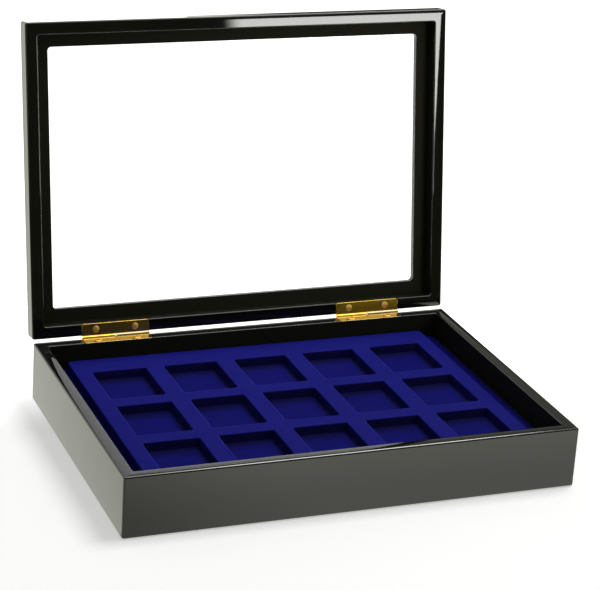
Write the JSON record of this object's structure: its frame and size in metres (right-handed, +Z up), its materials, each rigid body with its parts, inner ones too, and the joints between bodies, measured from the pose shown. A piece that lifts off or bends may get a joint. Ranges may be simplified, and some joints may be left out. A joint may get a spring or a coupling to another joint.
{
  "type": "lighter display case",
  "caption": "Shallow lacquered wooden case with a hinged glass-topped lid and a loose flocked tray of rectangular compartments for pocket lighters.",
  "frame": {"origin": "middle of the case's underside, on the surface the case stands on", "axes": "+X along the case to the right seen from the front, +Y from the front board to the hinges, +Z up. The lid stands open at its hinge stops."},
  "size_m": [0.4, 0.3497, 0.3339],
  "materials": {
    "black_lacquer": "black high-gloss lacquer on wood, polished",
    "ledge_wood": "satin black stain",
    "panel_wood": "satin black stain on thin board",
    "black_felt": "thin black wool-look felt, glued on",
    "blue_flock": "royal blue flock on a formed plastic sheet",
    "clear_glass": "clear polished picture glass",
    "polished_brass": "polished, gold coloured",
    "brass_screws": "polished, gold coloured",
    "hinge_pin_steel": "bright drawn wire"
  },
  "bodies": {
    "case": {"front_board": "black_lacquer", "back_board": "black_lacquer", "left_board": "black_lacquer", "right_board": "black_lacquer", "bottom_panel": "panel_wood", "underside_felt": "black_felt", "left_ledge": "ledge_wood", "right_ledge": "ledge_wood", "front_ledge": "ledge_wood", "back_ledge": "ledge_wood", "left_hinge_case_leaf": "polished_brass", "left_hinge_pin": "hinge_pin_steel", "left_hinge_case_screws": "brass_screws", "right_hinge_case_leaf": "polished_brass", "right_hinge_pin": "hinge_pin_steel", "right_hinge_case_screws": "brass_screws"},
    "tray": {"compartment_tray": "blue_flock"},
    "lid": {"lid_front_rail": "black_lacquer", "lid_back_rail": "black_lacquer", "lid_left_rail": "black_lacquer", "lid_right_rail": "black_lacquer", "lid_top_board": "black_lacquer", "glass_pane": "clear_glass", "left_hinge_lid_leaf": "polished_brass", "left_hinge_lid_screws": "brass_screws", "right_hinge_lid_leaf": "polished_brass", "right_hinge_lid_screws": "brass_screws"}
  },
  "joints": [
    {"name": "lid_hinge", "type": "hinge", "parent": "case", "child": "lid", "pos_m": [0, 0.1423, 0.05445], "axis": [1, 0, 0], "range_deg": [0, 99.2]},
    {"name": "tray_lift", "type": "slide", "parent": "case", "child": "tray", "axis": [0, 0, 1], "range_m": [0, 0.027]}
  ]
}
